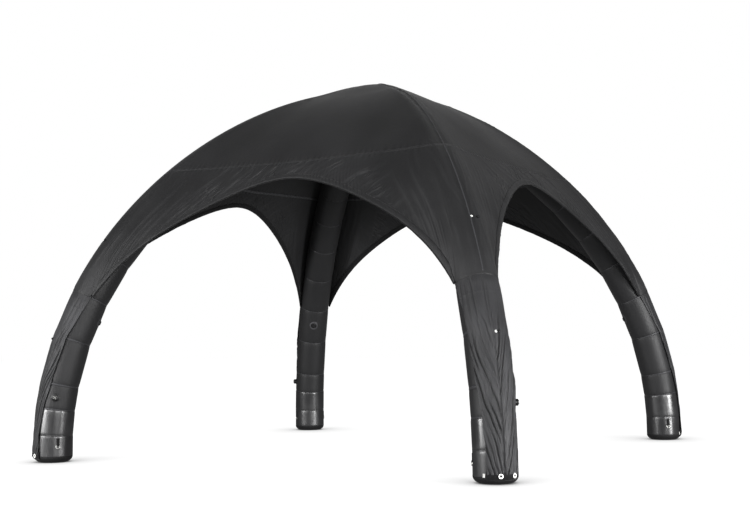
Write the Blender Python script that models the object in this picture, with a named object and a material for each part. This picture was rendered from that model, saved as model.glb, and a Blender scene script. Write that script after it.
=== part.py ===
"""Inflatable dome tent: four arched air tubes on moulded boots, meeting in a crown hub under a fabric roof.

Metres, +Z up. The origin is on the ground in the middle of the tent, and the legs stand on the diagonals.
"""
import math

import bmesh
import bpy
from mathutils import Matrix, Vector

# Overall sizes
LEG_SPACING = 4.20              # between leg centres along one side
LEG_REACH = LEG_SPACING / math.sqrt(2)
ARCH_HEIGHT = 3.24              # centreline of the tubes at the crown
BASE_RADIUS = 0.162
CROWN_RADIUS = 0.152
LEAN_OUT = 0.050                # the arch swells this far past its foot before it turns in
FOOT_HANDLE = 1.92              # length of the upright start of the arch curve
CROWN_HANDLE = 1.296            # length of its level end at the crown

# Seams, as lengths along the tube from the sole
BOOT_ROUND = 0.060
BOOT_SEAM = 0.235
BOOT_TOP = 0.455
FIRST_RING = 0.672
RING_STEP = 0.400
ROOF_SEAM_RING = 2              # the leg cover is sewn to the roof at this ring
HUB_ARM = 0.360                 # from the tent's axis to the seam where a tube meets the hub
HUB_RADIUS = 0.235
HUB_RISE = 0.208
HUB_FLAT = 0.080
HUB_TURN = 4                    # degrees, so that no edge of the pillow runs along an edge of a tube
HUB_INNER_SHARE = 1 / 3         # the stubs reach in to this share of the pillow's radius
CROWN_ROWS = (0.72, 0.45)       # the roof's rows over the hub, as shares of the seam's distance from the axis

TUBE_SIDES = 16
SIDE_STEP = 2 * math.pi / TUBE_SIDES
SEAM_GAP = 0.0003
SKIN_GAP = 0.0004
FABRIC = 0.006                  # the fabric is drawn thick enough to be a solid
EDGE_GAP = 0.0012               # between pieces of fabric whose edges are sewn together
ROOF_GAP = 0.003                # between the roof and the top of a leg cover
FREE_LIFT = 0.004               # taut fabric between the tubes stands this far off their line

# Openings between the legs
OPENING_HEIGHT = 2.385
LIP_WIDTH = 0.94                # widest part of the opening, as a share of the roof's own width
LIP_SPREAD = 2.0
LIP_RISE = 4.5
HEM_WIDTH = 0.045
LIP_SHARES = (0.888, 0.80, 0.66, 0.47, 0.25, 0.0)
MIDDLE_LENGTHS = (3.30, 3.90)   # where the two middle rows of a panel cross its centre line
FREE_COLUMNS = 4                # faces from the tube to the middle of a panel

# Leg covers
COVER_START = 0.030
COVER_HALF_ANGLES = (42, 42.5, 45, 52, 59, 67.5, 88)    # from the foot up, in degrees
COVER_TOP_ANGLE = math.radians(COVER_HALF_ANGLES[-1])

# Fittings
INFLATION_VALVE_AT = 0.560
RELIEF_VALVE_AT = 1.300
INFLATION_VALVE_FACET = 3
RELIEF_VALVE_FACET = 7
GROUND_RING_AT = 0.140
GROUND_RING_FACETS = (4, 11)
GROUND_RING_MAJOR = 0.018
GROUND_RING_MINOR = 0.004
# Turned profiles as (radius, height) from the patch on the tube to the top of the cap
INFLATION_VALVE_PROFILE = (
    (0.036, 0.0), (0.036, 0.003), (0.026, 0.004), (0.026, 0.013), (0.0245, 0.016), (0.0245, 0.028), (0.020, 0.031),
)
RELIEF_VALVE_PROFILE = ((0.032, 0.0), (0.032, 0.003), (0.018, 0.004), (0.018, 0.010))
VALVE_SIDES = 16

LEGS = {"front_left": 225, "front_right": 315, "back_right": 45, "back_left": 135}
SIDES = {
    "front": ("front_left", "front_right"),
    "right": ("front_right", "back_right"),
    "back": ("back_right", "back_left"),
    "left": ("back_left", "front_left"),
}
CURVE_STEPS = 400


def clear_scene():
    for item in list(bpy.data.objects):
        bpy.data.objects.remove(item, do_unlink=True)


def make_material(name, colour, roughness, metallic=0.0):
    material = bpy.data.materials.new(name)
    material.use_nodes = True
    shader = material.node_tree.nodes["Principled BSDF"]
    shader.inputs["Base Color"].default_value = (*colour, 1.0)
    shader.inputs["Roughness"].default_value = roughness
    shader.inputs["Metallic"].default_value = metallic
    return material


def link_mesh(name, bm, material):
    mesh = bpy.data.meshes.new(name)
    bm.to_mesh(mesh)
    bm.free()
    mesh.materials.append(material)
    obj = bpy.data.objects.new(name, mesh)
    bpy.context.collection.objects.link(obj)
    return obj


def add_solid(name, bm, material):
    """A closed body with its faces turned outwards."""
    bmesh.ops.recalc_face_normals(bm, faces=bm.faces)
    if bm.calc_volume(signed=True) < 0:
        bmesh.ops.reverse_faces(bm, faces=bm.faces)
    return link_mesh(name, bm, material)


# The arch: one cubic curve from the foot to the crown, in a vertical plane on the diagonal
def arch_curve():
    """Points of the centreline as (length along it, distance from the axis, height, tangent)."""
    foot = Vector((LEG_REACH, 0.0))
    handle_a = Vector((LEG_REACH + LEAN_OUT, FOOT_HANDLE))
    handle_b = Vector((CROWN_HANDLE, ARCH_HEIGHT))
    crown = Vector((0.0, ARCH_HEIGHT))
    table = []
    length = 0.0
    last = foot
    for step in range(CURVE_STEPS + 1):
        t = step / CURVE_STEPS
        u = 1 - t
        point = u**3 * foot + 3 * u * u * t * handle_a + 3 * u * t * t * handle_b + t**3 * crown
        slope = u * u * (handle_a - foot) + 2 * u * t * (handle_b - handle_a) + t * t * (crown - handle_b)
        length += (point - last).length
        table.append((length, point, slope.normalized()))
        last = point
    return table


ARCH = arch_curve()
ARCH_LENGTH = ARCH[-1][0]


def arch_at(length):
    """Centre point and tangent of the arch at a length from the sole."""
    low, high = 0, len(ARCH) - 1
    while high - low > 1:
        middle = (low + high) // 2
        if ARCH[middle][0] <= length:
            low = middle
        else:
            high = middle
    start, end = ARCH[low], ARCH[high]
    share = (length - start[0]) / (end[0] - start[0])
    return start[1].lerp(end[1], share), start[2].lerp(end[2], share).normalized()


def length_at_reach(reach):
    """Length along the arch where it is still this far from the tent's axis, near the crown."""
    return next(length for length, point, _ in ARCH if point.x <= reach)


def tube_radius(length):
    radius = BASE_RADIUS + (CROWN_RADIUS - BASE_RADIUS) * length / ARCH_LENGTH
    if length < BOOT_ROUND:
        drop = BOOT_ROUND - length
        radius += math.sqrt(BOOT_ROUND**2 - drop**2) - BOOT_ROUND
    return radius


def leg_axes(leg):
    angle = math.radians(LEGS[leg])
    return Vector((math.cos(angle), math.sin(angle), 0)), Vector((-math.sin(angle), math.cos(angle), 0))


def tube_point(leg, length, angle, extra=0.0):
    """A point on the faceted tube; angle 0 is its outer line, and extra stands it off the surface."""
    outward, sideways = leg_axes(leg)
    centre, tangent = arch_at(length)
    if length < BOOT_SEAM:
        tangent = Vector((0, 1)).lerp(tangent, length / BOOT_SEAM).normalized()
    up = Vector((0, 0, 1))
    middle = outward * centre.x + up * centre.y
    normal = outward * tangent.y - up * tangent.x
    radius = tube_radius(length) + extra
    corner = math.floor(angle / SIDE_STEP + 1e-6)
    share = angle / SIDE_STEP - corner
    corners = [
        middle + radius * (math.cos(k * SIDE_STEP) * normal + math.sin(k * SIDE_STEP) * sideways)
        for k in (corner, corner + 1)
    ]
    return corners[0].lerp(corners[1], share)


def tube_ring(leg, length):
    return [tube_point(leg, length, k * SIDE_STEP) for k in range(TUBE_SIDES)]


def seam_lengths():
    """The rings of one tube from the boot top to the hub."""
    hub_seam = length_at_reach(HUB_ARM)
    lengths = [FIRST_RING]
    while lengths[-1] + RING_STEP < hub_seam - RING_STEP / 3:
        lengths.append(lengths[-1] + RING_STEP)
    return lengths + [hub_seam]


RINGS = seam_lengths()
ROOF_SEAM = RINGS[ROOF_SEAM_RING]


def loft(rings):
    """A closed solid through rings of points, capped at both ends."""
    bm = bmesh.new()
    loops = []
    for ring in rings:
        corners = [bm.verts.new(point) for point in ring]
        edges = [bm.edges.new((corners[k - 1], corners[k])) for k in range(len(corners))]
        loops.append(edges)
    for lower, upper in zip(loops, loops[1:]):
        bmesh.ops.bridge_loops(bm, edges=lower + upper)
    bmesh.ops.edgeloop_fill(bm, edges=loops[0])
    bmesh.ops.edgeloop_fill(bm, edges=loops[-1])
    return bm


# Legs
def build_tube(leg, material):
    stations = [BOOT_TOP + SEAM_GAP / 2] + RINGS
    stations[-1] -= SEAM_GAP
    add_solid(leg + "_tube", loft([tube_ring(leg, s) for s in stations]), material)


def build_boots(leg, material):
    low = [0.0, 0.2 * BOOT_ROUND, COVER_START, BOOT_ROUND, BOOT_SEAM - SEAM_GAP / 2]
    high = [BOOT_SEAM + SEAM_GAP / 2, BOOT_TOP - SEAM_GAP / 2]
    add_solid(leg + "_boot_foot", loft([tube_ring(leg, s) for s in low]), material)
    add_solid(leg + "_boot_cuff", loft([tube_ring(leg, s) for s in high]), material)


def build_hub(material):
    """A low air pillow at the crown with a stub for each tube."""
    bm = bmesh.new()
    bmesh.ops.create_uvsphere(bm, u_segments=24, v_segments=12, radius=1.0)
    bmesh.ops.scale(bm, vec=(HUB_RADIUS, HUB_RADIUS, HUB_RISE), verts=bm.verts)
    bmesh.ops.rotate(bm, matrix=Matrix.Rotation(math.radians(HUB_TURN), 3, "Z"), verts=bm.verts)
    bmesh.ops.translate(bm, vec=(0, 0, ARCH_HEIGHT), verts=bm.verts)
    hub = add_solid("crown_hub", bm, material)
    seam = RINGS[-1]
    inner = length_at_reach(HUB_RADIUS * HUB_INNER_SHARE)
    for leg in LEGS:
        stub = add_solid("cutter_" + leg, loft([tube_ring(leg, seam), tube_ring(leg, inner)]), material)
        stub.hide_render = True
        stub.display_type = "WIRE"
        union = hub.modifiers.new("join_" + leg, "BOOLEAN")
        union.operation = "UNION"
        union.object = stub
        union.solver = "EXACT"


# The roof surface between two tubes
def roof_line(length):
    """Where the fabric leaves the tube at this length: distance out from the axis, and height."""
    point = tube_point("front_right", length, -2 * SIDE_STEP, SKIN_GAP)
    return -point.y, point.z


def roof_normal(length):
    step = 0.01
    near, far = roof_line(length - step), roof_line(length + step)
    rise = Vector((far[0] - near[0], far[1] - near[1])).normalized()
    return Vector((rise.y, -rise.x))


def roof_length_at_height(height):
    low, high = ROOF_SEAM / 2, RINGS[-1]
    while high - low > 1e-5:
        middle = (low + high) / 2
        if roof_line(middle)[1] < height:
            low = middle
        else:
            high = middle
    return low


def lip_point(share):
    """A point of the opening's edge as (distance from the centre line, length along the roof)."""
    height = OPENING_HEIGHT * (1 - (share / LIP_WIDTH) ** LIP_SPREAD) ** (1 / LIP_RISE)
    length = roof_length_at_height(height)
    centre, tangent = arch_at(length)
    reach = centre.x + tube_radius(length) * tangent.y
    return Vector((share * reach / math.sqrt(2), length))


def lip_points(inset=0.0):
    """The half edge from the roof seam to the crown of the opening, moved up into the fabric by inset."""
    points = [lip_point(share) for share in LIP_SHARES]
    moved = []
    for k, point in enumerate(points):
        before, after = points[max(k - 1, 0)], points[min(k + 1, len(points) - 1)]
        along = (after - before).normalized()
        if k == len(points) - 1:
            along = Vector((-1, 0))
        moved.append(point + inset * Vector((along.y, -along.x)))
    return moved


def on_roof(distance, length, lift):
    out, height = roof_line(length)
    normal = roof_normal(length)
    return Vector((distance, -out - lift * normal.x, height + lift * normal.y))


def panel_half():
    """Rows of points for half of the front panel, from its ridge on the front right tube to its edge."""
    leg = "front_right"
    edge = lip_points(HEM_WIDTH + EDGE_GAP)
    rows = []
    for k, length in enumerate(RINGS[ROOF_SEAM_RING:]):
        start = length + (ROOF_GAP if k == 0 else 0.0)
        row = [tube_point(leg, start, -step * SIDE_STEP, SKIN_GAP) for step in (0, 1, 2)]
        sideways = leg_axes(leg)[1]
        row[0] = row[0] - sideways * SEAM_GAP / 2
        if k == 0:
            for column in range(1, FREE_COLUMNS):
                angle = (2 + column / (FREE_COLUMNS - 1)) * SIDE_STEP
                row.append(tube_point(leg, start, -angle, SKIN_GAP))
            row.append(tube_point(leg, start, -(COVER_TOP_ANGLE - HEM_WIDTH / BASE_RADIUS), SKIN_GAP))
        else:
            if k < len(edge):
                target = edge[k]
            elif k - len(edge) < len(MIDDLE_LENGTHS):
                target = Vector((0.0, MIDDLE_LENGTHS[k - len(edge)]))
            else:
                target = Vector((0.0, length))
            origin = Vector((row[2].x, length))
            for column in range(1, FREE_COLUMNS + 1):
                place = origin.lerp(target, column / FREE_COLUMNS)
                row.append(on_roof(place.x, place.y, FREE_LIFT))
        rows.append(row)
    return rows + crown_rows(rows[-1])


def crown_rows(last_row):
    """Rows that climb from the end of the tubes over the hub to its flat top."""
    top = ARCH_HEIGHT + HUB_RISE + SEAM_GAP
    rows = []
    start = last_row[0].xy.length
    for reach in [share * start for share in CROWN_ROWS] + [HUB_FLAT]:
        share = (start - reach) / (start - HUB_FLAT)
        climb = (1 - math.cos(math.pi * share)) / 2
        scale = reach / start
        rows.append([
            Vector((p.x * scale, p.y * scale, p.z + (top - p.z) * climb)) for p in last_row
        ])
    gap = SEAM_GAP / 2
    rows.append([Vector((gap * (1 - k / (len(last_row) - 1)), -gap, top)) for k in range(len(last_row))])
    return rows


def solid_sheet(name, grids, material, turn):
    """A fabric sheet from grids of points, welded where they meet, turned about Z and given thickness."""
    bm = bmesh.new()
    for grid in grids:
        corners = [[bm.verts.new(point) for point in row] for row in grid]
        for lower, upper in zip(corners, corners[1:]):
            for k in range(len(lower) - 1):
                bm.faces.new((lower[k], lower[k + 1], upper[k + 1], upper[k]))
    bmesh.ops.remove_doubles(bm, verts=bm.verts, dist=1e-5)
    bmesh.ops.rotate(bm, matrix=Matrix.Rotation(math.radians(turn), 3, "Z"), verts=bm.verts)
    bmesh.ops.recalc_face_normals(bm, faces=bm.faces)
    outward = sum(face.normal.dot(face.calc_center_median() - Vector((0, 0, 1))) for face in bm.faces)
    if outward < 0:
        bmesh.ops.reverse_faces(bm, faces=bm.faces)
    wall = link_mesh(name, bm, material).modifiers.new("thickness", "SOLIDIFY")
    wall.thickness = FABRIC
    wall.offset = 1.0


def mirrored(grid):
    return [[Vector((-p.x, p.y, p.z)) for p in row] for row in grid]


def hem_half():
    """The band along the opening's edge, from the roof seam on the tube to its crown."""
    leg = "front_right"
    seam = ROOF_SEAM + ROOF_GAP
    outer, inner = lip_points(HEM_WIDTH), lip_points()
    band = HEM_WIDTH / BASE_RADIUS
    gap = EDGE_GAP / BASE_RADIUS
    rows = [[
        tube_point(leg, seam, -(COVER_TOP_ANGLE - band + gap), SKIN_GAP),
        tube_point(leg, seam, -COVER_TOP_ANGLE, SKIN_GAP),
    ]]
    for k in range(1, len(outer)):
        rows.append([on_roof(p.x, p.y, FREE_LIFT) for p in (outer[k], inner[k])])
    return rows


def build_roof(material, hem_material):
    half = panel_half()
    hem = hem_half()
    for number, side in enumerate(SIDES):
        turn = 90 * number
        solid_sheet("roof_panel_" + side, [half, mirrored(half)], material, turn)
        solid_sheet("arch_hem_" + side, [hem, mirrored(hem)], hem_material, turn)


def build_cover(leg, material):
    """The strip of fabric down the outer face of one leg."""
    stations = [COVER_START, BOOT_ROUND, BOOT_SEAM, BOOT_TOP] + RINGS[:ROOF_SEAM_RING + 1]
    grid = []
    for length, degrees in zip(stations, COVER_HALF_ANGLES):
        half = math.radians(degrees)
        flank = [min(step * SIDE_STEP, half) for step in (1, 2, 3)] + [half]
        angles = [-angle for angle in reversed(flank)] + [0.0] + flank
        grid.append([tube_point(leg, length, angle, SKIN_GAP) for angle in angles])
    solid_sheet(leg + "_cover", [grid], material, 0)


# Fittings
def facet_frame(leg, length, facet):
    """Centre and axes of a spot on one flat side of the tube."""
    stations = [BOOT_ROUND, BOOT_SEAM, BOOT_TOP] + RINGS
    above = next(s for s in stations if s > length)
    below = stations[stations.index(above) - 1]
    corners = [tube_point(leg, s, k * SIDE_STEP) for s in (below, above) for k in (facet, facet + 1)]
    share = (length - below) / (above - below)
    low = (corners[0] + corners[1]) / 2
    high = (corners[2] + corners[3]) / 2
    along = (high - low).normalized()
    across = (corners[1] - corners[0]).normalized()
    normal = across.cross(along).normalized()
    across = along.cross(normal)
    frame = Matrix((across, along, normal)).transposed().to_4x4()
    frame.translation = low.lerp(high, share) + normal * SEAM_GAP
    return frame


def turned_solid(profile):
    """A solid turned about Z from (radius, height) points, with flat ends."""
    turns = [2 * math.pi * k / VALVE_SIDES for k in range(VALVE_SIDES)]
    return loft([[Vector((r * math.cos(t), r * math.sin(t), height)) for t in turns] for r, height in profile])


def build_valves(leg, material):
    fittings = (
        ("_inflation_valve", INFLATION_VALVE_PROFILE, INFLATION_VALVE_AT, INFLATION_VALVE_FACET),
        ("_relief_valve", RELIEF_VALVE_PROFILE, RELIEF_VALVE_AT, RELIEF_VALVE_FACET),
    )
    for name, profile, length, facet in fittings:
        valve = turned_solid(profile)
        valve.transform(facet_frame(leg, length, facet))
        add_solid(leg + name, valve, material)


def build_ground_rings(leg, material):
    """A steel ring on each flank of the boot, for pegs and guy lines."""
    for name, facet in zip(("a", "b"), GROUND_RING_FACETS):
        bm = bmesh.new()
        section = bmesh.ops.create_circle(bm, segments=6, radius=GROUND_RING_MINOR)
        bmesh.ops.rotate(bm, matrix=Matrix.Rotation(math.pi / 2, 3, "X"), verts=section["verts"])
        bmesh.ops.translate(bm, vec=(GROUND_RING_MAJOR, 0, 0), verts=section["verts"])
        bmesh.ops.spin(
            bm, geom=bm.edges[:], cent=(0, 0, 0), axis=(0, 0, 1), angle=2 * math.pi, steps=14, use_merge=True
        )
        bmesh.ops.translate(bm, vec=(0, 0, GROUND_RING_MINOR), verts=bm.verts)
        bm.transform(facet_frame(leg, GROUND_RING_AT, facet))
        add_solid(leg + "_ground_ring_" + name, bm, material)


def main():
    clear_scene()
    tube_fabric = make_material("tube_fabric", (0.045, 0.045, 0.047), 0.65)
    roof_fabric = make_material("roof_fabric", (0.040, 0.040, 0.042), 0.50)
    boot_vinyl = make_material("boot_vinyl", (0.020, 0.020, 0.022), 0.22)
    hem_webbing = make_material("hem_webbing", (0.010, 0.010, 0.011), 0.75)
    moulded_black = make_material("moulded_black", (0.015, 0.015, 0.016), 0.45)
    steel = make_material("steel", (0.55, 0.55, 0.56), 0.30, 1.0)
    for leg in LEGS:
        build_boots(leg, boot_vinyl)
        build_tube(leg, tube_fabric)
        build_cover(leg, roof_fabric)
        build_valves(leg, moulded_black)
        build_ground_rings(leg, steel)
    build_hub(tube_fabric)
    build_roof(roof_fabric, hem_webbing)


main()
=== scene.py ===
"""The looks of the inflatable dome tent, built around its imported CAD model.

Metres, +Z up. The origin is on the ground in the middle of the tent, and the legs stand on the diagonals.
"""
import math

import bmesh
import bpy
import numpy as np
from mathutils import Matrix, Vector


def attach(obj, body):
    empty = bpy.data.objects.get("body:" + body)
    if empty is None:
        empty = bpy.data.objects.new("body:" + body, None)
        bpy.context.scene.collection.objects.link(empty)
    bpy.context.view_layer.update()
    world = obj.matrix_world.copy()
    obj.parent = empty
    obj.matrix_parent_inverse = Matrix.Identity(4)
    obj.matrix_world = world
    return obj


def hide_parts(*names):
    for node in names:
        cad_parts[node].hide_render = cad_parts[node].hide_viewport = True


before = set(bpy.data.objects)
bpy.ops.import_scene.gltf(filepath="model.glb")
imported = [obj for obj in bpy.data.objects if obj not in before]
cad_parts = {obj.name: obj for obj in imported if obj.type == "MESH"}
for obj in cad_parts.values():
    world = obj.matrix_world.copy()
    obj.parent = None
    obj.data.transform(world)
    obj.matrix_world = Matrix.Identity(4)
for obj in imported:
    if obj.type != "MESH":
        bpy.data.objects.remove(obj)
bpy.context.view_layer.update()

bl_info = {
    "name": "Inflatable dome tent",
    "version": (1, 0, 0),
    "blender": (4, 5, 0),
    "location": "3D View > Sidebar > Dome tent",
    "description": "Builds the air tubes, boots, roof, covers, seams and fittings of an inflatable dome tent",
    "category": "Object",
}

# The frame's own sizes, as in the CAD source
LEG_REACH = 4.20 / math.sqrt(2)
ARCH_HEIGHT = 3.24
BASE_RADIUS = 0.162
CROWN_RADIUS = 0.152
LEAN_OUT = 0.050
FOOT_HANDLE = 1.92
CROWN_HANDLE = 1.296
BOOT_ROUND = 0.060
BOOT_SEAM = 0.235
BOOT_TOP = 0.455
RINGS = [0.672 + 0.400 * k for k in range(10)]
ROOF_SEAM = RINGS[2]
HUB_ARM = 0.360
HUB_RADIUS = 0.235
HUB_RISE = 0.208
OPENING_HEIGHT = 2.385
LIP_WIDTH = 0.94
LIP_SPREAD = 2.0
LIP_RISE = 4.5
LIP_START = 0.888
COVER_START = 0.030
COVER_LENGTHS = [0.030, 0.060, 0.235, 0.455, 0.672, 1.072, 1.472]
COVER_HALF_ANGLES = [42, 42.5, 45, 52, 59, 67.5, 88]

LEGS = {"front_left": 225, "front_right": 315, "back_right": 45, "back_left": 135}
SIDES = {"front": 0, "right": 90, "back": 180, "left": 270}


# Colours and materials
def from_hex(code):
    """An sRGB hex colour as linear red, green and blue."""
    parts = [int(code[k:k + 2], 16) / 255 for k in (0, 2, 4)]
    return tuple(c / 12.92 if c <= 0.04045 else ((c + 0.055) / 1.055) ** 2.4 for c in parts)


def shader_node(tree, kind, inputs=(), **settings):
    """Adds a node with its settings; each input is a value or another node's output."""
    made = tree.nodes.new("ShaderNode" + kind)
    for name, value in settings.items():
        setattr(made, name, value)
    for socket, value in dict(inputs).items():
        if isinstance(value, bpy.types.NodeSocket):
            tree.links.new(value, made.inputs[socket])
        else:
            made.inputs[socket].default_value = value
    return made


def new_material(name):
    """An empty material with its tree and the shader that its finish is set on."""
    material = bpy.data.materials.new(name)
    material.use_nodes = True
    return material, material.node_tree, material.node_tree.nodes["Principled BSDF"]


def colour_mix(tree, factor, first, second):
    """A colour between two linear colours."""
    mix = shader_node(tree, "Mix", data_type="RGBA")
    mix.inputs["A"].default_value = (*first, 1)
    mix.inputs["B"].default_value = (*second, 1)
    tree.links.new(factor, mix.inputs["Factor"])
    return mix.outputs["Result"]


def set_shader(shader, **values):
    for name, value in values.items():
        shader.inputs[name.replace("_", " ")].default_value = value


def woven_height(tree, thread):
    """The height of a plain weave, on the piece's own UV map in metres."""
    coords = shader_node(tree, "TexCoord").outputs["UV"]
    scale = 2 * math.pi / 20 / thread
    waves = []
    for direction in ("X", "Y"):
        wave = shader_node(tree, "TexWave", {"Vector": coords, "Scale": scale}, bands_direction=direction)
        waves.append(wave.outputs["Fac"])
    return shader_node(tree, "Math", {0: waves[0], 1: waves[1]}, operation="MULTIPLY").outputs["Value"]


def fine_creases(tree, angle, apart, length):
    """The height of sharp little creases that run at an angle to the piece's own UV map, in patches."""
    coords = shader_node(tree, "TexCoord").outputs["UV"]
    turned_to = shader_node(tree, "Mapping", {"Vector": coords, "Rotation": (0, 0, -math.radians(angle))})
    stretched = shader_node(
        tree, "Mapping", {"Vector": turned_to.outputs["Vector"], "Scale": (1 / length, 1 / apart, 1)}
    )
    noise = shader_node(tree, "TexNoise", {"Vector": stretched.outputs["Vector"], "Scale": 1.0, "Detail": 1.5})
    centred = shader_node(tree, "Math", {0: noise.outputs["Fac"], 1: 0.5}, operation="SUBTRACT")
    folded = shader_node(tree, "Math", {0: centred.outputs["Value"]}, operation="ABSOLUTE")
    crest = shader_node(tree, "MapRange", {"Value": folded.outputs["Value"], 1: 0.0, 2: 0.050, 3: 1.0, 4: 0.0})
    patches = shader_node(tree, "TexNoise", {"Vector": coords, "Scale": 2.6, "Detail": 2.0}).outputs["Fac"]
    here = shader_node(tree, "MapRange", {"Value": patches, 1: 0.40, 2: 0.62})
    both = shader_node(tree, "Math", {0: crest.outputs["Result"], 1: here.outputs["Result"]}, operation="MULTIPLY")
    crumple = shader_node(tree, "Attribute", attribute_name="crumple").outputs["Fac"]
    return shader_node(tree, "Math", {0: both.outputs["Value"], 1: crumple}, operation="MULTIPLY").outputs["Value"]


def cloth_material(name, colour, cloud_and_crest_highlight, thread, roughness, sheen, crinkle, crease=None):
    """A coated cloth: weave, soft crinkles and a little cloudy, with painted light in its colour: paler on the tops of
    its creases as painted highlight and darker in their hollows as painted shade. crease gives the angle, spacing,
    length and height of its fine creases."""
    material, tree, shader = new_material(name)
    place = shader_node(tree, "TexCoord").outputs["Object"]
    # painted light: the relief attribute makes the colour paler on crease tops (painted highlight) and darker in their
    # hollows (painted shade); the cloud noise adds random tone
    relief = shader_node(tree, "Attribute", attribute_name="relief").outputs["Fac"]
    cloud = shader_node(tree, "TexNoise", {"Vector": place, "Scale": 2.2, "Detail": 4.0}).outputs["Fac"]
    painted_crest_light = shader_node(tree, "MapRange", {"Value": relief, 1: 0.2, 2: 1.0}).outputs["Result"]
    mixed = shader_node(tree, "Math", {0: cloud, 1: painted_crest_light}, operation="MULTIPLY_ADD")
    mixed.inputs[2].default_value = 0.0
    both = shader_node(tree, "Math", {0: mixed.outputs["Value"], 1: 1.2}, operation="MULTIPLY")
    tree.links.new(colour_mix(tree, both.outputs["Value"], colour, cloud_and_crest_highlight), shader.inputs["Base Color"])
    fine = shader_node(tree, "TexNoise", {"Vector": place, "Scale": 34.0, "Detail": 3.0}).outputs["Fac"]
    crinkles = shader_node(tree, "Bump", {"Height": fine, "Strength": crinkle, "Distance": 0.004})
    if crease:
        angle, apart, length, height = crease
        crinkles = shader_node(
            tree, "Bump", {"Height": fine_creases(tree, angle, apart, length), "Strength": 0.8, "Distance": height,
                           "Normal": crinkles.outputs["Normal"]},
        )
    weave = shader_node(
        tree, "Bump", {"Height": woven_height(tree, thread), "Strength": 0.35, "Distance": 0.0004,
                       "Normal": crinkles.outputs["Normal"]},
    )
    tree.links.new(weave.outputs["Normal"], shader.inputs["Normal"])
    uneven = shader_node(tree, "MapRange", {"Value": cloud, 3: roughness - 0.06, 4: roughness + 0.06})
    tree.links.new(uneven.outputs["Result"], shader.inputs["Roughness"])
    set_shader(shader, IOR=1.5, Specular_IOR_Level=0.35, Sheen_Weight=sheen, Sheen_Roughness=0.5)
    return material


def roof_cloth():
    """Polyester with a polyurethane coat, plain woven: satin, and its folds catch the light. Its 0.3 mm threads
    are too fine to show, so they are drawn 3 mm apart."""
    return cloth_material(
        "Coated polyester, plain woven", from_hex("1f1f20"), from_hex("39393a"), 0.003, 0.56, 0.10, 0.22,
        (52, 0.100, 0.32, 0.0110),
    )


def cover_cloth():
    """The roof's polyester where it hangs down the legs: the same satin, creased lengthwise. Its colours reach paler
    and darker than the roof's: the paler tone is painted light for the legs that the lamps light more, and the darker
    one painted shade in the hollows of its creases.
    """
    return cloth_material(
        "Coated polyester, creased, with painted light", from_hex("101011"), from_hex("464648"), 0.003, 0.54, 0.12, 0.12,
        (86, 0.022, 0.24, 0.0030),
    )


def tube_cloth():
    """Polyester with a matt PVC coat: smoother than the roof, stretched by the air inside. Its threads are
    drawn 2.5 mm apart."""
    return cloth_material("PVC-coated polyester, matt", from_hex("242425"), from_hex("303031"), 0.0025, 0.50, 0.06, 0.05)


def webbing():
    """Polyester webbing and elastic, woven in ribs: dull and almost black, partly its own colour and partly painted
    shade, darkened for the shade inside the openings' hems. Its ribs are drawn 4 mm apart.
    """
    return cloth_material("Woven polyester webbing", from_hex("0b0b0c"), from_hex("181819"), 0.004, 0.80, 0.12, 0.06)


def boot_vinyl():
    """Soft PVC sheet, calendered glossy: long clean reflections with a slight orange peel."""
    material, tree, shader = new_material("Soft PVC sheet, calendered")
    place = shader_node(tree, "TexCoord").outputs["Object"]
    cloud = shader_node(tree, "TexNoise", {"Vector": place, "Scale": 6.0, "Detail": 5.0}).outputs["Fac"]
    tree.links.new(colour_mix(tree, cloud, from_hex("222223"), from_hex("373738")), shader.inputs["Base Color"])
    scuffed = shader_node(tree, "MapRange", {"Value": cloud, 1: 0.35, 2: 0.75, 3: 0.30, 4: 0.42})
    tree.links.new(scuffed.outputs["Result"], shader.inputs["Roughness"])
    peel = shader_node(tree, "TexNoise", {"Vector": place, "Scale": 70.0, "Detail": 2.0}).outputs["Fac"]
    bump = shader_node(tree, "Bump", {"Height": peel, "Strength": 0.10, "Distance": 0.002})
    tree.links.new(bump.outputs["Normal"], shader.inputs["Normal"])
    set_shader(shader, IOR=1.53, Specular_IOR_Level=0.55, Coat_Weight=0.18, Coat_Roughness=0.20)
    return material


def moulded_material(name, colour, roughness):
    """A moulded plastic or rubber with a fine eroded grain."""
    material, tree, shader = new_material(name)
    place = shader_node(tree, "TexCoord").outputs["Object"]
    grain = shader_node(tree, "TexNoise", {"Vector": place, "Scale": 420.0, "Detail": 2.0}).outputs["Fac"]
    dusty = shader_node(tree, "TexNoise", {"Vector": place, "Scale": 24.0, "Detail": 4.0}).outputs["Fac"]
    paler = tuple(min(1.0, c * 1.5 + 0.004) for c in colour)
    tree.links.new(colour_mix(tree, dusty, colour, paler), shader.inputs["Base Color"])
    bump = shader_node(tree, "Bump", {"Height": grain, "Strength": 0.2, "Distance": 0.0005})
    tree.links.new(bump.outputs["Normal"], shader.inputs["Normal"])
    uneven = shader_node(tree, "MapRange", {"Value": dusty, 3: roughness - 0.08, 4: roughness + 0.08})
    tree.links.new(uneven.outputs["Result"], shader.inputs["Roughness"])
    set_shader(shader, IOR=1.5)
    return material


def black_nylon():
    """Moulded nylon: even black with a low satin shine."""
    return moulded_material("Nylon, moulded", from_hex("131314"), 0.42)


def grey_grip_and_highlight():
    """Moulded nylon, pale grey: the grips of the valve caps, whose paleness is partly their own colour and partly
    painted highlight on the cross.
    """
    return moulded_material("Grey nylon grip, with painted highlight", from_hex("6c6c6a"), 0.45)


def seam_tape():
    """PVC tape, hot welded over a seam: smoother than the cloth beside it and paler, partly its own colour and partly
    painted highlight, as along the crest of each ridge.
    """
    return cloth_material("PVC tape, hot welded", from_hex("3a3a3c"), from_hex("4c4c4e"), 0.0025, 0.42, 0.05, 0.04)


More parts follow.
